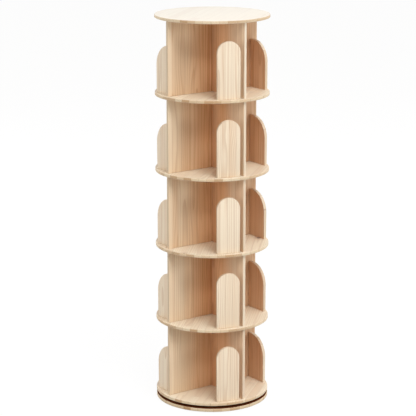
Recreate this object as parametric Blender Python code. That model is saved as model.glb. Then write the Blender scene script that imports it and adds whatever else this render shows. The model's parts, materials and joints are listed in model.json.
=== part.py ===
"""Revolving bookcase: round shelves on crossed panels, turning on a ball ring above a base disc.

Metres, +Z up. The origin is on the floor, on the axis that the case turns about.
"""
import math

import bmesh
import bpy
from mathutils import Matrix, Vector

# Driving dimensions of the discs and the tiers
DISC_RADIUS = 0.230
SHELF_THICKNESS = 0.012
BASE_THICKNESS = 0.013
RIM_EASE = 0.0015
TIER_COUNT = 5
TIER_CLEAR = 0.298

# Driving dimensions of the crossed panels
ARM_COUNT = 4
PANEL_THICKNESS = 0.012
PANEL_INSET = 0.011

# Driving dimensions of the upright stops at the rim
STOP_THICKNESS = 0.012
ARCH_STOP_WIDTH = 0.095
ARCH_STOP_HEIGHT = 0.228
ARCH_STOP_INSET = 0.0125
ARCH_STOP_SIDE_GAP = 0.011
SIDE_STOP_WIDTH = 0.100
SIDE_STOP_HEIGHT = 0.195
SIDE_STOP_INSET = 0.0065
SIDE_STOP_ROUND = 0.085
TENON_WIDTH = 0.070
TENON_DEPTH = 0.006

# Driving dimensions of the joinery
TONGUE_MIDDLE = 0.115
TONGUE_LENGTH = 0.130
TONGUE_DEPTH = 0.004
HOUSING_DEPTH = 0.0025

# Driving dimensions of the turntable bearing
TURNTABLE_GAP = 0.0120
BALL_CIRCLE = 0.150
BALL_RADIUS = 0.0024
BALL_COUNT = 6
RACE_LAND = 0.018
RACE_THICKNESS = 0.00455
GROOVE_MOUTH = 0.0064
GROOVE_FLOOR = 0.0032
CAGE_WIDTH = 0.010
CAGE_THICKNESS = 0.0012
SCREW_COUNT = 3
SCREW_INSET = 0.006
SCREW_SHANK_RADIUS = 0.0012
SCREW_HEAD_RADIUS = 0.0028
SCREW_HEAD_HEIGHT = 0.0010
SCREW_BITE = 0.008

# Driving dimensions of the foot ring
FOOT_WIDTH = 0.020
FOOT_THICKNESS = 0.002
FOOT_INSET = 0.015

# Facets and clearances
FIT_GAP = 0.0003
CUT_MARGIN = 0.004
DISC_SIDES = 64
RING_SIDES = 48
ROD_SIDES = 8
ARCH_STEPS = 16
CORNER_STEPS = 10
SMOOTH_ANGLE = math.radians(40)

# Finishes: linear colour, roughness, metallic
PINE = ((0.80, 0.62, 0.42), 0.55, 0.0)
PALE_PINE = ((0.88, 0.73, 0.53), 0.55, 0.0)
STEEL = ((0.45, 0.45, 0.46), 0.35, 1.0)
NYLON = ((0.05, 0.05, 0.05), 0.5, 0.0)
FELT = ((0.10, 0.09, 0.08), 0.95, 0.0)

# Heights that follow from the driving dimensions
BASE_LOW = FOOT_THICKNESS + FIT_GAP
BASE_HIGH = BASE_LOW + BASE_THICKNESS
FIRST_SHELF_LOW = BASE_HIGH + TURNTABLE_GAP
TIER_PITCH = SHELF_THICKNESS + TIER_CLEAR
BALL_HEIGHT = BASE_HIGH + TURNTABLE_GAP / 2
RACE_FACE = TURNTABLE_GAP / 2 - FIT_GAP - RACE_THICKNESS

# Places that follow from the driving dimensions
QUARTER = math.tau / ARM_COUNT
PANEL_REACH = DISC_RADIUS - PANEL_INSET
HALF_PANEL_START = PANEL_THICKNESS / 2 - HOUSING_DEPTH + FIT_GAP
ARCH_STOP_FACE = math.sqrt((DISC_RADIUS - ARCH_STOP_INSET) ** 2 - (ARCH_STOP_WIDTH / 2) ** 2)
SIDE_STOP_START = PANEL_THICKNESS / 2 + FIT_GAP
SIDE_STOP_END = SIDE_STOP_START + SIDE_STOP_WIDTH
SIDE_STOP_FACE = math.sqrt((DISC_RADIUS - SIDE_STOP_INSET) ** 2 - SIDE_STOP_END ** 2)
RACE_INNER = BALL_CIRCLE - RACE_LAND
RACE_OUTER = BALL_CIRCLE + RACE_LAND
LOWER_SCREW_CIRCLE = RACE_INNER + SCREW_INSET
UPPER_SCREW_CIRCLE = RACE_OUTER - SCREW_INSET


def disc_low(level):
    """Height of a disc's lower face; level 0 is the lowest shelf and TIER_COUNT the top panel."""
    return FIRST_SHELF_LOW + level * TIER_PITCH


def disc_high(level):
    """Height of a disc's upper face."""
    return disc_low(level) + SHELF_THICKNESS


def polar(radius, angle, height=0.0):
    """A point given by its distance from the axis, its bearing and its height."""
    return Vector((radius * math.cos(angle), radius * math.sin(angle), height))


def hole_radius(radius):
    """Radius of a hole whose flats clear a rod of the same number of sides."""
    return radius + FIT_GAP / math.cos(math.pi / ROD_SIDES)


# Scene helpers

def clear_scene():
    """Remove every object that the scene starts with."""
    for item in list(bpy.data.objects):
        bpy.data.objects.remove(item, do_unlink=True)


def new_empty(name):
    """An empty on the turning axis that carries one rigid body."""
    empty = bpy.data.objects.new(name, None)
    bpy.context.scene.collection.objects.link(empty)
    return empty


def new_material(name, finish):
    """A Principled material from a finish."""
    colour, roughness, metallic = finish
    material = bpy.data.materials.new(name)
    material.use_nodes = True
    shader = material.node_tree.nodes["Principled BSDF"]
    shader.inputs["Base Color"].default_value = (*colour, 1.0)
    shader.inputs["Roughness"].default_value = roughness
    shader.inputs["Metallic"].default_value = metallic
    return material


def new_mesh(name, build, smooth=False):
    """Run a bmesh builder and keep its result as a mesh whose faces point out."""
    work = bmesh.new()
    build(work)
    bmesh.ops.recalc_face_normals(work, faces=work.faces)
    mesh = bpy.data.meshes.new(name)
    work.to_mesh(mesh)
    work.free()
    if smooth:
        mesh.shade_smooth()
        mesh.set_sharp_from_angle(angle=SMOOTH_ANGLE)
    return mesh


def new_piece(name, mesh, finish, carrier, place=None):
    """One physical piece, carried by its body's empty."""
    piece = bpy.data.objects.new(name, mesh)
    bpy.context.scene.collection.objects.link(piece)
    mesh.materials.append(new_material(name, finish))
    piece.parent = carrier
    if place is not None:
        piece.location = place.to_translation()
        piece.rotation_euler = place.to_euler()
    return piece


def new_cutter(name, build):
    """A hidden shape that is cut out of other pieces."""
    cutter = bpy.data.objects.new(name, new_mesh(name, build))
    bpy.context.scene.collection.objects.link(cutter)
    cutter.hide_render = True
    cutter.display_type = "WIRE"
    return cutter


def cut(piece, cutter):
    """Take a cutter out of a piece."""
    modifier = piece.modifiers.new(cutter.name, "BOOLEAN")
    modifier.operation = "DIFFERENCE"
    modifier.solver = "EXACT"
    modifier.object = cutter


# Shape helpers

def add_box(work, low, high, place=None):
    """A box between two corners, in the frame of place."""
    low = Vector(low)
    high = Vector(high)
    shape = Matrix.Translation((low + high) / 2) @ Matrix.Diagonal((*(high - low), 1.0))
    bmesh.ops.create_cube(work, size=1.0, matrix=shape if place is None else place @ shape)


def add_rod(work, radius, start, end):
    """A round rod from one point to another."""
    run = end - start
    turn = Vector((0, 0, 1)).rotation_difference(run).to_matrix().to_4x4()
    place = Matrix.Translation((start + end) / 2) @ turn
    bmesh.ops.create_cone(work, cap_ends=True, segments=ROD_SIDES, radius1=radius, radius2=radius,
                          depth=run.length, matrix=place)


def add_turned(work, profile, sides, closed_ring):
    """A turned solid: a closed profile makes a ring, an open one is capped at its two ends."""
    loops = []
    for radius, height in profile:
        bearings = [math.tau * step / sides for step in range(sides)]
        loops.append([work.verts.new(polar(radius, bearing, height)) for bearing in bearings])
    pairs = list(zip(loops, loops[1:]))
    if closed_ring:
        pairs.append((loops[-1], loops[0]))
    else:
        work.faces.new(loops[0])
        work.faces.new(loops[-1])
    for lower, upper in pairs:
        for step in range(sides):
            following = (step + 1) % sides
            work.faces.new((lower[step], lower[following], upper[following], upper[step]))


def add_slab(work, outline, thickness):
    """An upright board: an outline in X and Z, with its outer face at Y zero."""
    outer = [work.verts.new((across, 0.0, up)) for across, up in outline]
    inner = [work.verts.new((across, -thickness, up)) for across, up in outline]
    work.faces.new(outer)
    work.faces.new(inner)
    for step in range(len(outline)):
        following = (step + 1) % len(outline)
        work.faces.new((outer[step], outer[following], inner[following], inner[step]))


def arc(centre, radius, start, end, steps):
    """Points along an arc, both ends included."""
    angles = [start + (end - start) * step / steps for step in range(steps + 1)]
    return [(centre[0] + radius * math.cos(angle), centre[1] + radius * math.sin(angle))
            for angle in angles]


# Discs

def disc_builder(thickness):
    """A round board with eased rims, standing on height zero."""
    profile = [
        (DISC_RADIUS - RIM_EASE, 0.0),
        (DISC_RADIUS, RIM_EASE),
        (DISC_RADIUS, thickness - RIM_EASE),
        (DISC_RADIUS - RIM_EASE, thickness),
    ]
    return lambda work: add_turned(work, profile, DISC_SIDES, closed_ring=False)


def disc_cuts(level):
    """What is cut out of a disc: mortises for tongues and tenons, and the lowest shelf's screw holes."""
    def build(work):
        for arm in range(ARM_COUNT):
            if level > 0:
                add_tongue_mortise(work, arm, disc_low(level), 1)
            if level < TIER_COUNT:
                add_tongue_mortise(work, arm, disc_high(level), -1)
                add_mortise(work, arm, disc_high(level))
        if level == 0:
            add_race_screw_holes(work, UPPER_SCREW_CIRCLE, disc_low(level), 1)
    return build


def make_discs(base, tower):
    """The base disc, the shelves and the top panel."""
    mesh = new_mesh("base_disc", disc_builder(BASE_THICKNESS), smooth=True)
    base_disc = new_piece("base_disc", mesh, PINE, base, Matrix.Translation((0, 0, BASE_LOW)))
    cut(base_disc, new_cutter("base_disc_cuts", lambda work: add_race_screw_holes(
        work, LOWER_SCREW_CIRCLE, BASE_HIGH, -1)))
    for level in range(TIER_COUNT + 1):
        name = "top_panel" if level == TIER_COUNT else f"shelf_{level + 1}"
        mesh = new_mesh(name, disc_builder(SHELF_THICKNESS), smooth=True)
        disc = new_piece(name, mesh, PALE_PINE, tower, Matrix.Translation((0, 0, disc_low(level))))
        cut(disc, new_cutter(f"{name}_cuts", disc_cuts(level)))


# Crossed panels

def add_tongue_mortise(work, arm, face, side):
    """The pocket in a disc's face for a panel's tongue; side 1 goes up into it and -1 goes down."""
    half_length = TONGUE_LENGTH / 2 + FIT_GAP
    half_width = PANEL_THICKNESS / 2 + FIT_GAP
    heights = sorted((-side * CUT_MARGIN, side * TONGUE_DEPTH))
    low = (TONGUE_MIDDLE - half_length, -half_width, heights[0])
    high = (TONGUE_MIDDLE + half_length, half_width, heights[1])
    place = Matrix.Translation((0, 0, face)) @ Matrix.Rotation(arm * QUARTER, 4, "Z")
    add_box(work, low, high, place)


def tongue_edge(height, side, middles):
    """One edge of a panel, left to right, with a tongue at each middle."""
    points = []
    for middle in middles:
        left = middle - TONGUE_LENGTH / 2
        right = middle + TONGUE_LENGTH / 2
        tip = height + side * TONGUE_DEPTH
        points += [(left, height), (left, tip), (right, tip), (right, height)]
    return points


def panel_outline(start, end, middles):
    """A panel's outline between two reaches along its arm, with tongues above and below."""
    height = TIER_CLEAR - 2 * FIT_GAP
    lower = [(start, 0.0)] + tongue_edge(0.0, -1, middles) + [(end, 0.0)]
    upper = [(start, height)] + tongue_edge(height, 1, middles) + [(end, height)]
    return lower + upper[::-1]


def add_panel_housings(work):
    """The housings in the long panel's faces for the half panels' inner edges."""
    half_width = PANEL_THICKNESS / 2 + FIT_GAP
    floor = PANEL_THICKNESS / 2 - HOUSING_DEPTH
    mouth = PANEL_THICKNESS / 2 + CUT_MARGIN
    for side in (-1, 1):
        near, far = sorted((side * floor, side * mouth))
        add_box(work, (-half_width, near, -CUT_MARGIN), (half_width, far, TIER_CLEAR + CUT_MARGIN))


def make_panels(tower):
    """In each tier, one panel through the axis and two half panels housed in its faces."""
    long_outline = panel_outline(-PANEL_REACH, PANEL_REACH, (-TONGUE_MIDDLE, TONGUE_MIDDLE))
    half_outline = panel_outline(HALF_PANEL_START, PANEL_REACH, (TONGUE_MIDDLE,))
    middle = Matrix.Translation((0, PANEL_THICKNESS / 2, 0))
    for tier in range(TIER_COUNT):
        foot = Matrix.Translation((0, 0, disc_high(tier) + FIT_GAP))
        layout = (
            (f"long_panel_{tier + 1}", long_outline, 0),
            (f"half_panel_{tier + 1}_a", half_outline, 1),
            (f"half_panel_{tier + 1}_b", half_outline, 3),
        )
        for name, outline, arm in layout:
            mesh = new_mesh(name, lambda work: add_slab(work, outline, PANEL_THICKNESS))
            panel = new_piece(name, mesh, PINE, tower, foot @ Matrix.Rotation(arm * QUARTER, 4, "Z") @ middle)
            if arm == 0:
                housings = new_cutter(f"{name}_cuts", add_panel_housings)
                housings.location = foot.to_translation()
                cut(panel, housings)


# Upright stops at the rim

def is_side_arm(arm):
    """The arms of the long panel carry side stops, those of the half panels arched ones."""
    return arm % 2 == 0


def stop_place(arm, height):
    """Frame of the stop on an arm's clockwise side: X along its face, Y outwards."""
    if is_side_arm(arm):
        face = SIDE_STOP_FACE
        bearing = arm * QUARTER
    else:
        face = ARCH_STOP_FACE
        near_corner = math.hypot(face - STOP_THICKNESS, ARCH_STOP_WIDTH / 2)
        near_edge = PANEL_THICKNESS / 2 + ARCH_STOP_SIDE_GAP
        lead = math.asin(ARCH_STOP_WIDTH / 2 / near_corner) + math.asin(near_edge / near_corner)
        bearing = arm * QUARTER - lead
    return Matrix.Translation(polar(face, bearing, height)) @ Matrix.Rotation(bearing - QUARTER, 4, "Z")


def stop_middle(arm):
    """Where the middle of a stop's width lies along its face."""
    return (SIDE_STOP_START + SIDE_STOP_END) / 2 if is_side_arm(arm) else 0.0


def stop_outline(arm):
    """A stop's outline from the left of its foot: tenon, outer edge, rounded top."""
    middle = stop_middle(arm)
    width = SIDE_STOP_WIDTH if is_side_arm(arm) else ARCH_STOP_WIDTH
    left = middle - width / 2
    right = middle + width / 2
    foot = [
        (left, 0.0),
        (middle - TENON_WIDTH / 2, 0.0),
        (middle - TENON_WIDTH / 2, -TENON_DEPTH),
        (middle + TENON_WIDTH / 2, -TENON_DEPTH),
        (middle + TENON_WIDTH / 2, 0.0),
        (right, 0.0),
    ]
    if is_side_arm(arm):
        centre = (right - SIDE_STOP_ROUND, SIDE_STOP_HEIGHT - SIDE_STOP_ROUND)
        corner = arc(centre, SIDE_STOP_ROUND, 0.0, math.pi / 2, CORNER_STEPS)
        return foot + corner + [(left, SIDE_STOP_HEIGHT)]
    centre = (middle, ARCH_STOP_HEIGHT - width / 2)
    return foot + arc(centre, width / 2, 0.0, math.pi, ARCH_STEPS)


def add_mortise(work, arm, shelf_top):
    """The pocket in a shelf for a stop's tenon."""
    middle = stop_middle(arm)
    half = TENON_WIDTH / 2 + FIT_GAP
    low = (middle - half, -STOP_THICKNESS - FIT_GAP, -TENON_DEPTH)
    high = (middle + half, FIT_GAP, CUT_MARGIN)
    add_box(work, low, high, stop_place(arm, shelf_top))


def make_stops(tower):
    """Four stops in each tier, standing in the shelf with their tenons."""
    for tier in range(TIER_COUNT):
        for arm in range(ARM_COUNT):
            kind = "side_stop" if is_side_arm(arm) else "arch_stop"
            name = f"{kind}_{tier + 1}_{'ab'[arm // 2]}"
            mesh = new_mesh(name, lambda work: add_slab(work, stop_outline(arm), STOP_THICKNESS))
            new_piece(name, mesh, PALE_PINE, tower, stop_place(arm, disc_high(tier) + FIT_GAP))


# Turntable bearing

def screw_bearings():
    """Bearings of a race's screws, midway between the arms' quarters."""
    return [math.tau * index / SCREW_COUNT + QUARTER / 2 for index in range(SCREW_COUNT)]


def race_profile(side):
    """A race's section with its ball groove; side is 1 for the upper race and -1 for the lower."""
    back = RACE_FACE + RACE_THICKNESS
    floor = BALL_RADIUS + FIT_GAP
    section = [
        (RACE_INNER, back),
        (RACE_INNER, RACE_FACE),
        (BALL_CIRCLE - GROOVE_MOUTH / 2, RACE_FACE),
        (BALL_CIRCLE - GROOVE_FLOOR / 2, floor),
        (BALL_CIRCLE + GROOVE_FLOOR / 2, floor),
        (BALL_CIRCLE + GROOVE_MOUTH / 2, RACE_FACE),
        (RACE_OUTER, RACE_FACE),
        (RACE_OUTER, back),
    ]
    return [(radius, BALL_HEIGHT + side * offset) for radius, offset in section]


def add_race_screw_holes(work, circle, board_face, side):
    """Screw holes through a race and into the board behind it."""
    radius = hole_radius(SCREW_SHANK_RADIUS)
    start = board_face - side * (RACE_THICKNESS + FIT_GAP + CUT_MARGIN)
    end = board_face + side * (SCREW_BITE + FIT_GAP)
    for bearing in screw_bearings():
        add_rod(work, radius, polar(circle, bearing, start), polar(circle, bearing, end))


def screw_profile(side):
    """A pan-head screw's outline from its point to the top of its head."""
    seat = RACE_FACE - FIT_GAP
    point = TURNTABLE_GAP / 2 + SCREW_BITE
    section = [
        (SCREW_SHANK_RADIUS, point),
        (SCREW_SHANK_RADIUS, seat),
        (SCREW_HEAD_RADIUS, seat),
        (SCREW_HEAD_RADIUS, seat - SCREW_HEAD_HEIGHT),
    ]
    return [(radius, BALL_HEIGHT + side * offset) for radius, offset in section]


def make_race(name, side, carrier, circle, board_face):
    """A race with its screws."""
    mesh = new_mesh(name, lambda work: add_turned(work, race_profile(side), RING_SIDES, closed_ring=True),
                    smooth=True)
    race = new_piece(name, mesh, STEEL, carrier)
    cut(race, new_cutter(f"{name}_cuts", lambda work: add_race_screw_holes(work, circle, board_face, side)))
    for index, bearing in enumerate(screw_bearings()):
        screw = f"{name}_screw_{index + 1}"
        mesh = new_mesh(screw, lambda work: add_turned(work, screw_profile(side), ROD_SIDES, closed_ring=False),
                        smooth=True)
        new_piece(screw, mesh, STEEL, carrier, Matrix.Translation(polar(circle, bearing)))


def ball_places():
    """Centres of the balls."""
    return [polar(BALL_CIRCLE, math.tau * index / BALL_COUNT, BALL_HEIGHT) for index in range(BALL_COUNT)]


def add_flat_ring(work, inner, outer, low, high):
    """A flat ring between two radii and two heights."""
    section = [(inner, low), (outer, low), (outer, high), (inner, high)]
    add_turned(work, section, RING_SIDES, closed_ring=True)


def add_pockets(work):
    """The cage's ball pockets."""
    radius = (BALL_RADIUS + FIT_GAP) / math.cos(math.pi / ROD_SIDES)
    reach = Vector((0, 0, CUT_MARGIN))
    for centre in ball_places():
        add_rod(work, radius, centre - reach, centre + reach)


def make_bearing(base, cage, tower):
    """Two grooved races, and a cage of balls that rolls between them."""
    make_race("lower_race", -1, base, LOWER_SCREW_CIRCLE, BASE_HIGH)
    make_race("upper_race", 1, tower, UPPER_SCREW_CIRCLE, disc_low(0))
    ring = new_mesh("ball_cage", lambda work: add_flat_ring(
        work, BALL_CIRCLE - CAGE_WIDTH / 2, BALL_CIRCLE + CAGE_WIDTH / 2,
        BALL_HEIGHT - CAGE_THICKNESS / 2, BALL_HEIGHT + CAGE_THICKNESS / 2), smooth=True)
    cut(new_piece("ball_cage", ring, NYLON, cage), new_cutter("ball_cage_cuts", add_pockets))
    for index, centre in enumerate(ball_places()):
        name = f"ball_{index + 1}"
        mesh = new_mesh(name, lambda work: bmesh.ops.create_icosphere(
            work, subdivisions=2, radius=BALL_RADIUS), smooth=True)
        new_piece(name, mesh, STEEL, cage, Matrix.Translation(centre))


# Foot ring

def make_foot_ring(base):
    """A felt ring under the base disc, which the bookcase stands on."""
    outer = DISC_RADIUS - FOOT_INSET
    mesh = new_mesh("foot_ring", lambda work: add_flat_ring(
        work, outer - FOOT_WIDTH, outer, 0.0, FOOT_THICKNESS), smooth=True)
    new_piece("foot_ring", mesh, FELT, base)


def main():
    """Model the whole bookcase."""
    clear_scene()
    base = new_empty("base_body")
    cage = new_empty("cage_axis")
    tower = new_empty("tower_axis")
    make_foot_ring(base)
    make_discs(base, tower)
    make_panels(tower)
    make_stops(tower)
    make_bearing(base, cage, tower)


main()
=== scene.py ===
"""Looks of the revolving bookcase: eased pine boards, studio and camera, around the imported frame."""
import json
import math

import bmesh
import bpy
from mathutils import Matrix, Vector

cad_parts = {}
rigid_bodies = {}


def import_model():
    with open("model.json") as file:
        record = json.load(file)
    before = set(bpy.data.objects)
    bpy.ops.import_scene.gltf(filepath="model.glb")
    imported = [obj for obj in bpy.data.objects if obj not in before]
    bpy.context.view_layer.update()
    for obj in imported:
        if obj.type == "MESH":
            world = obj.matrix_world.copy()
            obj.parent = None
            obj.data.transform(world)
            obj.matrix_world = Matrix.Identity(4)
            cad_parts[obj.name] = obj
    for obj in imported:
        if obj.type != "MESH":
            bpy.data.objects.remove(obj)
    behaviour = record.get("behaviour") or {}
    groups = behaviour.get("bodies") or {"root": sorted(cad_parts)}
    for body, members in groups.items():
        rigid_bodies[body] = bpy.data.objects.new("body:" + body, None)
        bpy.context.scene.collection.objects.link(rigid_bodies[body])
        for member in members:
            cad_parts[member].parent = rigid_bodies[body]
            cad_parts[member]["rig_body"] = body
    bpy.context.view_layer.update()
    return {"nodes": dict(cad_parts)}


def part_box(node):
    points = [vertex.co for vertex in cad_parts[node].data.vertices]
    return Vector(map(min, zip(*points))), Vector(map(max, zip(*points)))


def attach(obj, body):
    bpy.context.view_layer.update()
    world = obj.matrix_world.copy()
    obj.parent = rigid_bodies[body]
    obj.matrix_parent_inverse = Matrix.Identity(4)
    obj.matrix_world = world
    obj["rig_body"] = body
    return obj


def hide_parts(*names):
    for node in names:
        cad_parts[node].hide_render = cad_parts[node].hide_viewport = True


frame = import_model()
nodes = frame["nodes"]

# Tiers from the lowest up, one on each shelf
TIERS = range(1, 1 + sum(name.startswith("shelf_") for name in nodes))

# Rounded edges in metres, and the steps that curves are drawn with
RIM_ROUND = 0.0016
BOARD_ROUND = 0.0016
FELT_ROUND = 0.0006
ROUND_STEPS = 3
DISC_STEPS = 192
ARCH_STEPS = 40
CORNER_STEPS = 24
SMOOTH_ANGLE = math.radians(35)

# Reading the frame's meshes: the slope of an upright face, the digits of a direction, a level edge
UPRIGHT_SLOPE = 0.01
DIRECTION_DIGITS = 3
LEVEL_GAP = 1e-5

# The first seed of each kind of board
DISC_SEED = 1
PANEL_SEED = 20
STOP_SEED = 40

# Edge-glued pine in metres: strips across the grain, lamellae along it, and the glue lines between them
PANEL_STRIP = 0.046
STOP_STRIP = 0.030
DISC_STRIP = 0.031
UPRIGHT_LAMELLA = 2.0
FLAT_LAMELLA = 0.52
GLUE_FADE = (0.0007, 0.0002)

# Where a strip's first lamella starts, as a share of a lamella's length
LAMELLA_START = 0.25
LAMELLA_START_RANGE = 0.5

# The level boards' grain: its bearing, and how far that wanders from board to board
GRAIN_BEARING = math.radians(222.0)
GRAIN_WANDER = 0.10
WANDER_STEP = 5.0

# Steps that keep the draws of one board, strip or lamella apart from those of the next
STRIP_STEP = 0.618
STRIP_SALT = 3.7
LAMELLA_SALT = 1.7
KNOT_SALT = 3.3
NOISE_SPREAD = 40.0

# Growth rings in metres, and the part of a ring where the late wood rises and falls
PITH_ASIDE = 0.110
PITH_DEPTH = 0.016
PITH_DEPTH_RANGE = 0.045
RING_SPACING = 0.0040
RING_SPACING_RANGE = 0.0035
RING_BEND = 0.022
LATE_RISE = (0.35, 0.92)
LATE_FALL = (1.0, 0.94)

# Noise drawn out along the grain: its scale across the grain and along it, detail and roughness
BEND_NOISE = (10.0, 2.2, 2.0, 0.5)
FIBRE_NOISE = (900.0, 14.0, 3.0, 0.6)
STREAK_NOISE = (130.0, 1.8, 2.0, 0.55)

# Knots: cells in a metre across the grain and along it, the cells' scatter, and the share with a knot
KNOT_CELLS = (11.0, 6.0)
KNOT_SCATTER = 0.7
KNOT_CHANCE = 0.06

# Where a knot and the halo round it begin and are full, in cells from the knot's centre
KNOT_FADE = (0.105, 0.055)
HALO_FADE = (0.28, 0.08)

# Layers of the wood's colour: the range over which each comes in, and its share where it is full
WARM_RANGE = (0.55, 1.0)
WARM_SHARE = 0.55
LATE_SHARE = 0.32
STREAK_RANGE = (0.46, 0.72)
STREAK_SHARE = 0.42
FIBRE_RANGE = (0.52, 0.80)
FIBRE_SHARE = 0.22
HALO_SHARE = 0.45
KNOT_SHARE = 0.85
SOAKED_RANGE = (0.30, 0.75)
SOAKED_SHARE = 0.74
GLUE_SHARE = 0.55
LINES_RANGE = (0.48, 0.58)
LINES_SHARE = 0.36
LIPPING_SHARE = 0.55
# Painted highlight: the share by which the broad faces of shelves and top are paled, as if brightly lit
SHELF_HIGHLIGHT = 0.18
TOP_HIGHLIGHT = 0.59

# How unlike the stops' lamellae are, where 1 is the measure of the other boards
STOP_VARIETY = 0.55

# Panels along their arms, in metres from the axis: where painted shade towards the axis starts and is full
# (the first reach also spans a long panel's darker far end), dark lines near the axis, a pale lipping
PAINTED_SHADE_REACH = 0.172
CORNER_CORE = 0.020
HALF_SHADE_REACH = 0.165
HALF_SHADE_CORE = 0.070
LINES_REACH = 0.060
LIPPING_FADE = (-0.2006, -0.2010)

# Colours of the wood
PALE_WOOD = (0.900, 0.775, 0.600)
EARLY_WOOD = (0.850, 0.690, 0.500)
WARM_WOOD = (0.730, 0.510, 0.330)
LATE_WOOD = (0.500, 0.270, 0.125)
# Painted highlight: the pale colour laid over broad faces, as if brightly lit
HIGHLIGHT_COLOUR = (0.900, 0.908, 0.887)
KNOT_BARK = (0.150, 0.062, 0.026)
GLUE_LINE = (0.400, 0.225, 0.110)

# Tints of the boards, which multiply the wood's colours; the far, corner, inner and edge tints paint shade,
# the half panels' edge tint a highlight
LONG_TINT = (0.995, 0.960, 0.915)
LONG_FAR_SHADE_TINT = (0.840, 0.690, 0.590)
LONG_CORNER_SHADE_TINT = (1.000, 0.770, 0.585)
LONG_EDGE_SHADE_TINT = (0.740, 0.700, 0.650)
HALF_TINT = (0.930, 0.825, 0.755)
HALF_CORNER_SHADE_TINT = (0.890, 0.610, 0.435)
HALF_EDGE_HIGHLIGHT_TINT = (0.930, 0.985, 1.050)
STOP_TINT = (0.980, 0.995, 1.020)
STOP_INNER_SHADE_TINT = (0.800, 0.650, 0.580)
STOP_EDGE_SHADE_TINT = (0.835, 0.850, 0.860)
RIM_TINT = (0.860, 0.860, 0.810)
BASE_TINT = (0.800, 0.775, 0.705)

# Satin lacquer: its roughness, and the depth and strength of the relief under it
LACQUER_ROUGHNESS = 0.44
FIBRE_ROUGHNESS = 0.14
LATE_ROUGHNESS = -0.08
FIBRE_RELIEF = 0.6
LATE_RELIEF = 0.5
RELIEF = (0.00025, 0.35)
LACQUER_SPECULAR = 0.3

# The painted shade on the base's upper face, the bearing and the foot: two colours each, and the scale of the
# grain between them
GAP_SHADE_COLOURS = ((0.088, 0.020, 0.004), (0.175, 0.046, 0.012))
GAP_SHADE_GRAIN = (9.0, 420.0, 420.0)
GAP_SHADE_SPECULAR = 0.1
STEEL_COLOURS = ((0.36, 0.36, 0.38), (0.56, 0.56, 0.56))
STEEL_GRAIN = (240.0, 240.0, 1800.0)
NYLON_COLOURS = ((0.030, 0.030, 0.032), (0.060, 0.060, 0.062))
NYLON_GRAIN = (2500.0, 2500.0, 2500.0)
FELT_COLOURS = ((0.050, 0.044, 0.040), (0.130, 0.115, 0.100))
FELT_GRAIN = (1400.0, 1400.0, 1400.0)
FELT_ROUGHNESS = 0.95
FELT_SHEEN = 0.3

# The camera, found by fitting the six rims of the photograph and the far edge of its top
IMAGE_WIDTH = 416
SENSOR_WIDTH = 36.0
FOCAL_PIXELS = 1712.71
CAMERA_DISTANCE = 6.7705
CAMERA_ABOVE_SHELF = 2.4116
CAMERA_PITCH = math.radians(13.7308)
CAMERA_YAW = math.radians(0.1436)
CAMERA_BEARING = math.radians(234.0)

# The surround's light: nothing at the horizon, and its full level at FILL_TOP on the unit sphere
SKY_LEVEL = 0.94
FILL_TOP = 0.9
FILL_COLOUR = (1.0, 0.985, 0.96)
PLAIN_WHITE = (1.0, 1.0, 1.0)

# The floor as the object's light sees it, and the white sheet that the camera sees in its place
FLOOR_COLOUR = (0.46, 0.45, 0.44)
FLOOR_ROUGHNESS = 0.9
SHEET_COLOUR = (0.95, 0.95, 0.95)
SHEET_GLOW = 0.92
FLOOR_REACH = 60.0

# Lamps: metres to the right of the axis and towards the camera, and watts; all aim at one height
LAMP_AIM = 0.8
KEY_PLACE = (3.57, 7.65)
KEY_HEIGHT = 11.33
KEY_SIZE = 6.4
KEY_POWER = 1010.0
LOW_LAMP_HEIGHT = 2.0
LOW_LAMP_SIZE = 2.0
LOW_LAMPS = {
    "side_right": ((5.3, 3.1), 96.0),
    "side_left": ((-5.4, 2.9), 86.0),
    "back_right": ((4.4, -4.2), 85.0),
    "back_left": ((-4.4, -4.2), 85.0),
}


# Node graph helper

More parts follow.
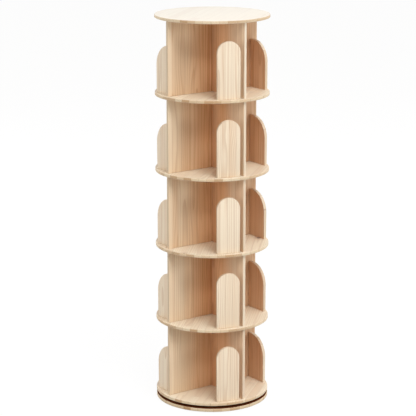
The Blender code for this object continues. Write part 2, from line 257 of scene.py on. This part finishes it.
class Graph:
    """A small wrapper that adds nodes to a material or a world and links their sockets."""

    def __init__(self, owner):
        self.owner = owner
        self.owner.use_nodes = True
        self.tree = self.owner.node_tree
        self.shader = self.tree.nodes.get("Principled BSDF")

    def add(self, kind, **settings):
        """A new node with its properties set."""
        node = self.tree.nodes.new(kind)
        for name, value in settings.items():
            setattr(node, name, value)
        return node

    def feed(self, socket, value):
        """Link a socket to a value, or set it."""
        if isinstance(value, bpy.types.NodeSocket):
            self.tree.links.new(value, socket)
        else:
            socket.default_value = value

    def feed_colour(self, socket, colour):
        """Link a socket to a colour, or set it."""
        self.feed(socket, colour if isinstance(colour, bpy.types.NodeSocket) else (*colour, 1.0))

    def math(self, operation, first, second=0.0, third=0.0):
        """The result of a Math node."""
        node = self.add("ShaderNodeMath", operation=operation)
        for socket, value in zip(node.inputs, (first, second, third)):
            self.feed(socket, value)
        return node.outputs[0]

    def vector(self, first, second, third):
        """A vector from three numbers."""
        node = self.add("ShaderNodeCombineXYZ")
        for socket, value in zip(node.inputs, (first, second, third)):
            self.feed(socket, value)
        return node.outputs[0]

    def random(self, vector):
        """Three random numbers that belong to a vector."""
        node = self.add("ShaderNodeTexWhiteNoise", noise_dimensions="3D")
        self.feed(node.inputs["Vector"], vector)
        split = self.add("ShaderNodeSeparateColor")
        self.feed(split.inputs[0], node.outputs["Color"])
        return split.outputs

    def noise(self, vector, detail, roughness):
        """Smooth noise from 0 to 1 at unit scale."""
        node = self.add("ShaderNodeTexNoise", noise_dimensions="3D")
        self.feed(node.inputs["Vector"], vector)
        self.feed(node.inputs["Scale"], 1.0)
        self.feed(node.inputs["Detail"], detail)
        self.feed(node.inputs["Roughness"], roughness)
        return node.outputs[0]

    def ramp(self, value, low, high, smooth=True):
        """A value rescaled from low..high to 0..1."""
        kind = "SMOOTHSTEP" if smooth else "LINEAR"
        node = self.add("ShaderNodeMapRange", interpolation_type=kind, clamp=True)
        self.feed(node.inputs["Value"], value)
        self.feed(node.inputs["From Min"], low)
        self.feed(node.inputs["From Max"], high)
        return node.outputs[0]

    def mix(self, factor, first, second, blend="MIX"):
        """Two colours mixed."""
        node = self.add("ShaderNodeMix", data_type="RGBA", blend_type=blend)
        self.feed(node.inputs["Factor"], factor)
        self.feed_colour(node.inputs["A"], first)
        self.feed_colour(node.inputs["B"], second)
        return node.outputs["Result"]

    def layer(self, tone, colour, mask, share):
        """A colour laid over a tone by a mask, with its share where the mask is full."""
        return self.mix(self.math("MULTIPLY", mask, share), tone, colour)

    def bump(self, height, distance, strength):
        """A bump on the shader's normal."""
        node = self.add("ShaderNodeBump")
        self.feed(node.inputs["Height"], height)
        self.feed(node.inputs["Distance"], distance)
        self.feed(node.inputs["Strength"], strength)
        self.feed(self.shader.inputs["Normal"], node.outputs["Normal"])

    def blend(self, factor, first, second):
        """Two shaders mixed."""
        node = self.add("ShaderNodeMixShader")
        for socket, value in zip(node.inputs, (factor, first, second)):
            self.feed(socket, value)
        return node.outputs[0]

    def shown(self):
        """1 for the rays that show the background: those of the camera, of gloss and through glass."""
        path = self.add("ShaderNodeLightPath")
        bounced = self.math("MAXIMUM", path.outputs["Is Glossy Ray"], path.outputs["Is Transmission Ray"])
        return self.math("MAXIMUM", path.outputs["Is Camera Ray"], bounced)


# Pine

def board_axes(graph, seed, flat):
    """A board's coordinates and the parts of its normal: along the grain, across it, through the board."""
    lookup = graph.add("ShaderNodeTexCoord")
    order = (0, 1, 2) if flat else (2, 0, 1)
    axes = []
    for output in ("Object", "Normal"):
        vector = lookup.outputs[output]
        if flat:
            turn = graph.add("ShaderNodeVectorRotate", rotation_type="Z_AXIS", invert=True)
            graph.feed(turn.inputs["Vector"], vector)
            wander = graph.math("SINE", graph.math("MULTIPLY", seed, WANDER_STEP))
            bearing = graph.math("MULTIPLY_ADD", wander, GRAIN_WANDER, GRAIN_BEARING)
            graph.feed(turn.inputs["Angle"], bearing)
            vector = turn.outputs[0]
        split = graph.add("ShaderNodeSeparateXYZ")
        graph.feed(split.inputs[0], vector)
        axes.append([split.outputs[axis] for axis in order])
    return axes


def glued_strips(graph, along, across, seed, strip, length):
    """Strips and their lamellae: the place in a strip, the lamella's random numbers, the glue lines."""
    offset = graph.math("MULTIPLY", seed, STRIP_STEP)
    position = graph.math("ADD", graph.math("DIVIDE", across, strip), offset)
    strip_number = graph.math("FLOOR", position)
    in_strip = graph.math("SUBTRACT", position, strip_number)
    strip_random = graph.random(graph.vector(strip_number, seed, STRIP_SALT))
    start = graph.math("MULTIPLY_ADD", strip_random[2], LAMELLA_START_RANGE, LAMELLA_START)
    run = graph.math("ADD", graph.math("DIVIDE", along, length), start)
    lamella_number = graph.math("FLOOR", run)
    in_lamella = graph.math("SUBTRACT", run, lamella_number)
    salt = graph.math("MULTIPLY", seed, LAMELLA_SALT)
    lamella = graph.random(graph.vector(strip_number, salt, lamella_number))
    seams = []
    for place, size in ((in_strip, strip), (in_lamella, length)):
        nearest = graph.math("MINIMUM", place, graph.math("SUBTRACT", 1.0, place))
        seams.append(graph.ramp(graph.math("MULTIPLY", nearest, size), *GLUE_FADE))
    return in_strip, lamella, graph.math("MAXIMUM", *seams)


def late_wood(graph, in_strip, through, lamella, strip, wave):
    """1 on the late wood of growth rings round a pith beside the lamella, which a slow wave bends."""
    bend = graph.math("MULTIPLY", graph.math("SUBTRACT", wave, 0.5), RING_BEND)
    pith_across = graph.math("MULTIPLY", graph.math("SUBTRACT", lamella[1], 0.5), PITH_ASIDE)
    pith_through = graph.math("MULTIPLY_ADD", lamella[2], PITH_DEPTH_RANGE, PITH_DEPTH)
    offset = graph.math("MULTIPLY", graph.math("SUBTRACT", in_strip, 0.5), strip)
    run_across = graph.math("ADD", graph.math("SUBTRACT", offset, pith_across), bend)
    run_through = graph.math("ADD", graph.math("SUBTRACT", through, pith_through), bend)
    squares = [graph.math("POWER", run, 2.0) for run in (run_across, run_through)]
    radius = graph.math("SQRT", graph.math("ADD", *squares))
    spacing = graph.math("MULTIPLY_ADD", lamella[0], RING_SPACING_RANGE, RING_SPACING)
    phase = graph.math("FRACT", graph.math("DIVIDE", radius, spacing))
    return graph.math("MULTIPLY", graph.ramp(phase, *LATE_RISE), graph.ramp(phase, *LATE_FALL))


def knot_marks(graph, along, across, seed, broad_face, chance):
    """Knots and the halos round them, in the few cells of a stretched grid whose own number allows it."""
    cells_across, cells_along = KNOT_CELLS
    place = graph.vector(graph.math("MULTIPLY", across, cells_across),
                         graph.math("MULTIPLY", seed, KNOT_SALT),
                         graph.math("MULTIPLY", along, cells_along))
    cells = graph.add("ShaderNodeTexVoronoi", voronoi_dimensions="3D", feature="F1")
    graph.feed(cells.inputs["Vector"], place)
    graph.feed(cells.inputs["Scale"], 1.0)
    graph.feed(cells.inputs["Randomness"], KNOT_SCATTER)
    draw = graph.add("ShaderNodeSeparateColor")
    graph.feed(draw.inputs[0], cells.outputs["Color"])
    allowed = graph.math("MULTIPLY", graph.math("LESS_THAN", draw.outputs[0], chance), broad_face)
    masks = [graph.ramp(cells.outputs["Distance"], *fade) for fade in (KNOT_FADE, HALO_FADE)]
    return [graph.math("MULTIPLY", mask, allowed) for mask in masks]


def pine_material(name, strip, lamella_length, tint, flat=False, highlight=0.0, knots=KNOT_CHANCE,
                  variety=1.0, inner_shade_tint=None, far_shade_tint=None, corner_shade=None, edge_light_tint=None):
    """Edge-glued pine: growth rings through the solid, strips of unlike tone, fine fibre, a few knots.

    An upright board has its grain along its own Z; a flat one has it level, at GRAIN_BEARING.
    The tint is the whole board's. The other tints are painted shade: on its inner face, on a long panel
    towards its far end, and on a panel towards the axis, with the reaches where that starts and is full;
    on the upright edges they paint shade, or a highlight where paler. Variety is how unlike the lamellae are,
    and a painted highlight pales the broad faces.
    """
    graph = Graph(bpy.data.materials.new(name))
    seed = graph.add("ShaderNodeObjectInfo").outputs["Object Index"]
    (along, across, through), (end_facing, edge_facing, face_facing) = board_axes(graph, seed, flat)
    cut_end = graph.math("POWER", graph.math("ABSOLUTE", end_facing), 2.0)
    broad_face = graph.math("POWER", graph.math("ABSOLUTE", face_facing), 2.0)
    in_strip, lamella, glue = glued_strips(graph, along, across, seed, strip, lamella_length)
    shift = graph.math("MULTIPLY", lamella[0], NOISE_SPREAD)

    def grain(scale_across, scale_along, detail, roughness):
        """Noise drawn out along the grain, unlike in each lamella."""
        place = graph.vector(graph.math("MULTIPLY_ADD", across, scale_across, shift),
                             graph.math("MULTIPLY", through, scale_across),
                             graph.math("MULTIPLY", along, scale_along))
        return graph.noise(place, detail, roughness)

    late = late_wood(graph, in_strip, through, lamella, strip, grain(*BEND_NOISE))
    fibre = grain(*FIBRE_NOISE)
    streak = grain(*STREAK_NOISE)
    knot, halo = knot_marks(graph, along, across, seed, broad_face, knots)

    # The wood's own colour, with the cut ends of some strips browner than their faces
    tone = graph.mix(graph.math("MULTIPLY", lamella[1], variety), PALE_WOOD, EARLY_WOOD)
    tone = graph.layer(tone, WARM_WOOD, graph.ramp(lamella[2], *WARM_RANGE), WARM_SHARE * variety)
    tone = graph.layer(tone, LATE_WOOD, late, LATE_SHARE)
    tone = graph.layer(tone, WARM_WOOD, graph.ramp(streak, *STREAK_RANGE), STREAK_SHARE)
    tone = graph.layer(tone, LATE_WOOD, graph.ramp(fibre, *FIBRE_RANGE), FIBRE_SHARE)
    tone = graph.layer(tone, LATE_WOOD, halo, HALO_SHARE)
    tone = graph.layer(tone, KNOT_BARK, knot, KNOT_SHARE)
    soaked = graph.math("MULTIPLY", cut_end, graph.ramp(lamella[0], *SOAKED_RANGE))
    tone = graph.layer(tone, LATE_WOOD, soaked, SOAKED_SHARE)
    tone = graph.layer(tone, GLUE_LINE, glue, GLUE_SHARE)

    # The board's tints, painting shade on inner faces, far ends, corners and edges and a highlight on paler
    # edges, and the lines and the lipping of a long panel
    # Painted shade: a stop's inner face is darker, as the shade that falls on it
    if inner_shade_tint:
        tint = graph.mix(graph.ramp(face_facing, 0.0, -1.0), tint, inner_shade_tint)
    if far_shade_tint:
        # Painted shade: a long panel darkens towards its far end, as that end stands in shade
        tint = graph.mix(graph.ramp(across, -PAINTED_SHADE_REACH, PAINTED_SHADE_REACH), tint, far_shade_tint)
        near_axis = graph.ramp(graph.math("ABSOLUTE", across), LINES_REACH, CORNER_CORE)
        lines = graph.math("MULTIPLY", near_axis, graph.ramp(streak, *LINES_RANGE))
        tone = graph.layer(tone, LATE_WOOD, lines, LINES_SHARE)
        tone = graph.layer(tone, PALE_WOOD, graph.ramp(across, *LIPPING_FADE), LIPPING_SHARE)
    # Painted shade: a panel darkens and warms towards the axis, as shade falls in the inner corner
    if corner_shade:
        shade_tint, shade_start, shade_full = corner_shade
        corner_shading = graph.ramp(graph.math("ABSOLUTE", across), shade_start, shade_full)
        tint = graph.mix(corner_shading, tint, shade_tint)
    # Painted shade on the upright edges, or a painted highlight where the edge tint is paler, as the edges
    # stand in shade or light
    if edge_light_tint:
        tint = graph.mix(graph.math("ABSOLUTE", edge_facing), tint, edge_light_tint)
    tone = graph.mix(1.0, tone, tint, "MULTIPLY")
    # Painted highlight: the broad faces are paled, as brightly lit faces
    if highlight:
        tone = graph.layer(tone, HIGHLIGHT_COLOUR, broad_face, highlight)
    graph.feed(graph.shader.inputs["Base Color"], tone)

    # Satin lacquer
    fibre_gloss = graph.math("MULTIPLY_ADD", fibre, FIBRE_ROUGHNESS, LACQUER_ROUGHNESS)
    gloss = graph.math("MULTIPLY_ADD", late, LATE_ROUGHNESS, fibre_gloss)
    graph.feed(graph.shader.inputs["Roughness"], gloss)
    graph.shader.inputs["Specular IOR Level"].default_value = LACQUER_SPECULAR
    raised = graph.math("MULTIPLY_ADD", late, LATE_RELIEF, graph.math("MULTIPLY", fibre, FIBRE_RELIEF))
    graph.bump(graph.math("SUBTRACT", raised, glue), *RELIEF)
    return graph.owner


# Other materials

def grained(name, scale, colours, detail, roughness, depth, strength):
    """A material's graph and its grain: one stretched noise behind its colour and its relief."""
    graph = Graph(bpy.data.materials.new(name))
    stretch = graph.add("ShaderNodeMapping")
    graph.feed(stretch.inputs["Vector"], graph.add("ShaderNodeTexCoord").outputs["Object"])
    stretch.inputs["Scale"].default_value = scale
    grain = graph.noise(stretch.outputs[0], detail, roughness)
    graph.feed(graph.shader.inputs["Base Color"], graph.mix(grain, *colours))
    graph.bump(grain, depth, strength)
    return graph, grain


def roughen(graph, grain, lowest, gain):
    """Roughness that rises with the grain."""
    graph.feed(graph.shader.inputs["Roughness"], graph.math("MULTIPLY_ADD", grain, gain, lowest))


def gap_shade_material():
    """Painted shade on the base's upper face: a dark brown with a fine grain that stands in for the shadow in
    the gap under the lowest shelf.
    """
    graph, fibre = grained("gap_painted_shade", GAP_SHADE_GRAIN, GAP_SHADE_COLOURS, detail=4.0, roughness=0.6,
                           depth=0.0002, strength=0.3)
    roughen(graph, fibre, lowest=0.75, gain=0.2)
    graph.shader.inputs["Specular IOR Level"].default_value = GAP_SHADE_SPECULAR
    return graph.owner


def metal_material():
    """Zinc-plated steel with fine turned marks."""
    graph, marks = grained("zinc_steel", STEEL_GRAIN, STEEL_COLOURS, detail=3.0, roughness=0.6,
                           depth=0.0001, strength=0.2)
    roughen(graph, marks, lowest=0.28, gain=0.2)
    graph.shader.inputs["Metallic"].default_value = 1.0
    return graph.owner


def nylon_material():
    """Black moulded nylon with a fine matt grain."""
    graph, speck = grained("cage_nylon", NYLON_GRAIN, NYLON_COLOURS, detail=2.0, roughness=0.5,
                           depth=0.0001, strength=0.3)
    roughen(graph, speck, lowest=0.42, gain=0.2)
    return graph.owner


def felt_material():
    """Dark pressed felt."""
    graph, _ = grained("foot_felt", FELT_GRAIN, FELT_COLOURS, detail=4.0, roughness=0.7,
                       depth=0.0004, strength=0.6)
    graph.shader.inputs["Roughness"].default_value = FELT_ROUGHNESS
    graph.shader.inputs["Sheen Weight"].default_value = FELT_SHEEN
    return graph.owner


# Mesh helpers

def mesh_piece(name, build, material, place):
    """A piece from a bmesh builder in its own axes, set down at place, shaded smooth on its rounds."""
    work = bmesh.new()
    build(work)
    bmesh.ops.recalc_face_normals(work, faces=work.faces)
    mesh = bpy.data.meshes.new(name)
    work.to_mesh(mesh)
    work.free()
    mesh.materials.append(material)
    mesh.shade_smooth()
    mesh.set_sharp_from_angle(angle=SMOOTH_ANGLE)
    piece = bpy.data.objects.new(name, mesh)
    bpy.context.scene.collection.objects.link(piece)
    piece.matrix_world = place
    return piece


def settle(piece, node, seed=0):
    """Put a piece in a node's stead, on the node's body."""
    piece.pass_index = seed
    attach(piece, nodes[node]["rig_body"])
    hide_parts(node)


def rounded_section(inner, outer, low, high, ease):
    """The section of a flat ring or disc, from its lower to its upper face, with rounded outer corners."""
    section = []
    for centre_height, start in ((low + ease, -math.pi / 2), (high - ease, 0.0)):
        for step in range(ROUND_STEPS + 1):
            angle = start + math.pi / 2 * step / ROUND_STEPS
            section.append((outer - ease + ease * math.cos(angle), centre_height + ease * math.sin(angle)))
    if inner > 0:
        return [(inner, low)] + section + [(inner, high)]
    return section


def add_turned(work, section, closed):
    """A turned solid: a ring from a closed section, or a disc that is capped at both ends."""
    angles = [math.tau * step / DISC_STEPS for step in range(DISC_STEPS)]
    loops = []
    for radius, height in section:
        points = [(radius * math.cos(a), radius * math.sin(a), height) for a in angles]
        loops.append([work.verts.new(point) for point in points])
    pairs = list(zip(loops, loops[1:]))
    if closed:
        pairs.append((loops[-1], loops[0]))
    else:
        work.faces.new(loops[0])
        work.faces.new(loops[-1])
    for lower, upper in pairs:
        for step in range(DISC_STEPS):
            following = (step + 1) % DISC_STEPS
            work.faces.new((lower[step], lower[following], upper[following], upper[step]))


def add_board(work, outline, thickness):
    """An upright board with eased edges: an outline in X and Z, its outer face at Y zero."""
    outer = [work.verts.new((across, 0.0, up)) for across, up in outline]
    inner = [work.verts.new((across, -thickness, up)) for across, up in outline]
    faces = [work.faces.new(outer), work.faces.new(inner)]
    for step in range(len(outline)):
        following = (step + 1) % len(outline)
        work.faces.new((outer[step], outer[following], inner[following], inner[step]))
    rims = {edge for face in faces for edge in face.edges}
    sides = [edge for edge in work.edges if edge not in rims]
    corners = {edge for edge in sides if edge.calc_face_angle(0.0) > SMOOTH_ANGLE}
    bmesh.ops.bevel(work, geom=list(rims | corners), offset=BOARD_ROUND, segments=ROUND_STEPS, profile=0.5,
                    affect="EDGES", clamp_overlap=True)


def arc(centre, radius, start, end, steps):
    """Points along an arc, both ends included."""
    angles = [start + (end - start) * step / steps for step in range(steps + 1)]
    return [(centre[0] + radius * math.cos(a), centre[1] + radius * math.sin(a)) for a in angles]


# Pieces in place of the frame's nodes

def tier_of(node):
    """The tier in a panel's or a stop's name."""
    return int(node.split("_")[2])


def board_frame(node):
    """A stop's own axes, X along its face and Y outwards, its extents, and where its top edge ends."""
    mesh = nodes[node].data
    areas = {}
    for face in mesh.polygons:
        normal = face.normal
        outward = normal.x * face.center.x + normal.y * face.center.y
        if abs(normal.z) < UPRIGHT_SLOPE and outward > 0:
            key = (round(normal.x, DIRECTION_DIGITS), round(normal.y, DIRECTION_DIGITS))
            areas[key] = areas.get(key, 0.0) + face.area
    normal = Vector((*max(areas, key=areas.get), 0.0)).normalized()
    across = Vector((normal.y, -normal.x, 0.0))
    points = [(v.co.dot(across), v.co.dot(normal), v.co.z) for v in mesh.vertices]
    low = [min(p[axis] for p in points) for axis in range(3)]
    high = [max(p[axis] for p in points) for axis in range(3)]
    top_end = max(p[0] for p in points if p[2] > high[2] - LEVEL_GAP)
    turn = Matrix((across, normal, Vector((0, 0, 1)))).transposed().to_4x4()
    return turn, low, high, top_end


def make_stops(material):
    """Stops at the rim, arched or with one round corner, one in place of each CAD stop."""
    for seed, node in enumerate(sorted(n for n in nodes if "_stop_" in n)):
        turn, low, high, top_end = board_frame(node)
        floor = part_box(f"shelf_{tier_of(node)}")[1].z
        height = high[2] - floor
        half = (high[0] - low[0]) / 2
        thickness = high[1] - low[1]
        outline = [(-half, 0.0), (half, 0.0)]
        if node.startswith("arch"):
            outline += arc((0.0, height - half), half, 0.0, math.pi, ARCH_STEPS)
        else:
            ease = high[0] - top_end
            outline += arc((half - ease, height - ease), ease, 0.0, math.pi / 2, CORNER_STEPS)
            outline += [(-half, height)]
        middle = Vector(((low[0] + high[0]) / 2, high[1], floor))
        place = Matrix.Translation(turn.to_3x3() @ middle) @ turn
        piece = mesh_piece(f"{node}_board", lambda work: add_board(work, outline, thickness), material, place)
        settle(piece, node, seed + STOP_SEED)


def make_panels(long_pine, half_pine):
    """Upright panels of the crosses, from shelf to shelf, each measured along its arm from the axis."""
    names = sorted(n for n in nodes if n.startswith(("long_panel", "half_panel")))
    for seed, node in enumerate(names):
        low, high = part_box(node)
        tier = tier_of(node)
        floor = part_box(f"shelf_{tier}")[1].z
        above = "top_panel" if tier == TIERS[-1] else f"shelf_{tier + 1}"
        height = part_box(above)[0].z - floor
        size = high - low
        thickness = min(size.x, size.y)
        bearing = 0.0 if size.x > size.y else math.copysign(math.pi / 2, low.y + high.y)
        ends = [abs(low.y), abs(high.y)] if bearing else [low.x, high.x]
        start, end = sorted(ends)
        place = Matrix.Translation((0, 0, floor)) @ Matrix.Rotation(bearing, 4, "Z")
        place = place @ Matrix.Translation((0, thickness / 2, 0))
        outline = [(start, 0.0), (end, 0.0), (end, height), (start, height)]
        finish = long_pine if node.startswith("long") else half_pine
        piece = mesh_piece(f"{node}_board", lambda work: add_board(work, outline, thickness), finish, place)
        settle(piece, node, seed + PANEL_SEED)


def make_discs(shelf_pine, top_pine, base_pine, gap_shade):
    """Shelves, top and base with rounded rims; the base's upper face carries painted shade, a dark brown for
    the shadow in the gap under the lowest shelf.
    """
    names = ["base_disc"] + [f"shelf_{tier}" for tier in TIERS] + ["top_panel"]
    for seed, node in enumerate(names):
        low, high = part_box(node)
        radius = (high.x - low.x) / 2
        section = rounded_section(0.0, radius, 0.0, high.z - low.z, RIM_ROUND)
        place = Matrix.Translation((0, 0, low.z))
        finish = {"base_disc": base_pine, "top_panel": top_pine}.get(node, shelf_pine)
        piece = mesh_piece(f"{node}_board", lambda work: add_turned(work, section, False), finish, place)
        # Painted shade: the base's upper face takes the dark brown that stands for the shadow in the gap
        if node == "base_disc":
            piece.data.materials.append(gap_shade)
            upper_face = max(piece.data.polygons, key=lambda face: face.center.z)
            upper_face.material_index = piece.data.materials.find(gap_shade.name)
        settle(piece, node, seed + DISC_SEED)


def make_foot(material):
    """The felt ring under the base."""
    low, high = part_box("foot_ring")
    outer = (high.x - low.x) / 2
    inner = min(math.hypot(v.co.x, v.co.y) for v in nodes["foot_ring"].data.vertices)
    section = rounded_section(inner, outer, 0.0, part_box("base_disc")[0].z, FELT_ROUND)
    place = Matrix.Translation((0, 0, low.z))
    piece = mesh_piece("foot_ring_felt", lambda work: add_turned(work, section, True), material, place)
    settle(piece, "foot_ring")


def dress_bearing():
    """Finishes for the turntable's CAD pieces, which stay as they are."""
    steel = metal_material()
    nylon = nylon_material()
    for name, node in nodes.items():
        if "race" in name or name.startswith("ball"):
            node.material_slots[0].material = nylon if name == "ball_cage" else steel


# Studio

def make_floor():
    """A pale floor that shows white to the camera and keeps the object's shadow."""
    graph = Graph(bpy.data.materials.new("studio_floor"))
    graph.feed_colour(graph.shader.inputs["Base Color"], FLOOR_COLOUR)
    graph.shader.inputs["Roughness"].default_value = FLOOR_ROUGHNESS
    sheet = graph.add("ShaderNodeBsdfDiffuse")
    graph.feed_colour(sheet.inputs["Color"], SHEET_COLOUR)
    glow = graph.add("ShaderNodeEmission")
    glow.inputs["Strength"].default_value = 1.0
    white = graph.blend(SHEET_GLOW, sheet.outputs[0], glow.outputs[0])
    surface = graph.blend(graph.shown(), graph.shader.outputs[0], white)
    graph.feed(graph.tree.nodes["Material Output"].inputs["Surface"], surface)
    mesh = bpy.data.meshes.new("studio_floor")
    corners = [(FLOOR_REACH * x, FLOOR_REACH * y, 0.0) for x, y in ((-1, -1), (1, -1), (1, 1), (-1, 1))]
    mesh.from_pydata(corners, [], [(0, 1, 2, 3)])
    mesh.materials.append(graph.owner)
    floor = bpy.data.objects.new("studio_floor", mesh)
    bpy.context.scene.collection.objects.link(floor)


def make_world():
    """A white surround, brightest overhead: soft fill for the object, plain white to the camera."""
    world = bpy.data.worlds.new("studio")
    graph = Graph(world)
    fill = graph.tree.nodes["Background"]
    graph.feed_colour(fill.inputs["Color"], FILL_COLOUR)
    lookup = graph.add("ShaderNodeTexCoord")
    split = graph.add("ShaderNodeSeparateXYZ")
    graph.feed(split.inputs[0], lookup.outputs["Generated"])
    rise = graph.ramp(split.outputs["Z"], 0.0, FILL_TOP, smooth=False)
    graph.feed(fill.inputs["Strength"], graph.math("MULTIPLY", rise, SKY_LEVEL))
    plain = graph.add("ShaderNodeBackground")
    graph.feed_colour(plain.inputs["Color"], PLAIN_WHITE)
    plain.inputs["Strength"].default_value = 1.0
    surface = graph.blend(graph.shown(), fill.outputs[0], plain.outputs[0])
    graph.feed(graph.tree.nodes["World Output"].inputs["Surface"], surface)
    bpy.context.scene.world = world


def camera_axes():
    """The camera's right, forward and up directions."""
    level = CAMERA_BEARING + math.pi + CAMERA_YAW
    ahead = Vector((math.cos(level), math.sin(level), 0.0))
    right = Vector((ahead.y, -ahead.x, 0.0))
    forward = ahead * math.cos(CAMERA_PITCH) - Vector((0, 0, math.sin(CAMERA_PITCH)))
    up = ahead * math.sin(CAMERA_PITCH) + Vector((0, 0, math.cos(CAMERA_PITCH)))
    return right, forward, up


def make_camera():
    """The camera at the photograph's viewing angle."""
    data = bpy.data.cameras.new("camera")
    data.sensor_fit = "HORIZONTAL"
    data.sensor_width = SENSOR_WIDTH
    data.lens = FOCAL_PIXELS / IMAGE_WIDTH * SENSOR_WIDTH
    camera = bpy.data.objects.new("camera", data)
    bpy.context.scene.collection.objects.link(camera)
    right, forward, up = camera_axes()
    camera.matrix_world = Matrix((right, up, -forward)).transposed().to_4x4()
    camera.location = (CAMERA_DISTANCE * math.cos(CAMERA_BEARING),
                       CAMERA_DISTANCE * math.sin(CAMERA_BEARING),
                       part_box("shelf_1")[1].z + CAMERA_ABOVE_SHELF)
    bpy.context.scene.camera = camera


def make_lamp(name, place, height, size, power, glossy):
    """A soft square lamp, placed by its distances from the axis as the camera sees them."""
    data = bpy.data.lights.new(name, "AREA")
    data.size = size
    data.energy = power
    lamp = bpy.data.objects.new(name, data)
    bpy.context.scene.collection.objects.link(lamp)
    view_right, view_forward, _ = camera_axes()
    level = Vector((view_forward.x, view_forward.y, 0.0)).normalized()
    right, towards = place
    spot = view_right * right - level * towards + Vector((0, 0, height))
    lamp.location = spot
    lamp.visible_glossy = glossy
    lamp.rotation_mode = "QUATERNION"
    lamp.rotation_quaternion = (Vector((0, 0, LAMP_AIM)) - spot).to_track_quat("-Z", "Y")


def make_lamps():
    """A broad key light high in front, and low soft lamps at the sides and behind that leave no glints."""
    make_lamp("key", KEY_PLACE, KEY_HEIGHT, KEY_SIZE, KEY_POWER, glossy=True)
    for name, (place, power) in LOW_LAMPS.items():
        make_lamp(name, place, LOW_LAMP_HEIGHT, LOW_LAMP_SIZE, power, glossy=False)


make_discs(pine_material("shelf_pine", DISC_STRIP, FLAT_LAMELLA, RIM_TINT, flat=True, highlight=SHELF_HIGHLIGHT),
           pine_material("top_pine", DISC_STRIP, FLAT_LAMELLA, RIM_TINT, flat=True, highlight=TOP_HIGHLIGHT),
           pine_material("base_pine", DISC_STRIP, FLAT_LAMELLA, BASE_TINT, flat=True),
           gap_shade_material())
make_panels(pine_material("long_pine", PANEL_STRIP, UPRIGHT_LAMELLA, LONG_TINT, far_shade_tint=LONG_FAR_SHADE_TINT,
                          corner_shade=(LONG_CORNER_SHADE_TINT, PAINTED_SHADE_REACH, CORNER_CORE), edge_light_tint=LONG_EDGE_SHADE_TINT),
            pine_material("half_pine", PANEL_STRIP, UPRIGHT_LAMELLA, HALF_TINT,
                          corner_shade=(HALF_CORNER_SHADE_TINT, HALF_SHADE_REACH, HALF_SHADE_CORE),
                          edge_light_tint=HALF_EDGE_HIGHLIGHT_TINT))
make_stops(pine_material("stop_pine", STOP_STRIP, UPRIGHT_LAMELLA, STOP_TINT, knots=0.0,
                         variety=STOP_VARIETY, inner_shade_tint=STOP_INNER_SHADE_TINT, edge_light_tint=STOP_EDGE_SHADE_TINT))
make_foot(felt_material())
dress_bearing()
make_floor()
make_world()
make_lamps()
make_camera()
bpy.context.scene.view_settings.view_transform = "Standard"
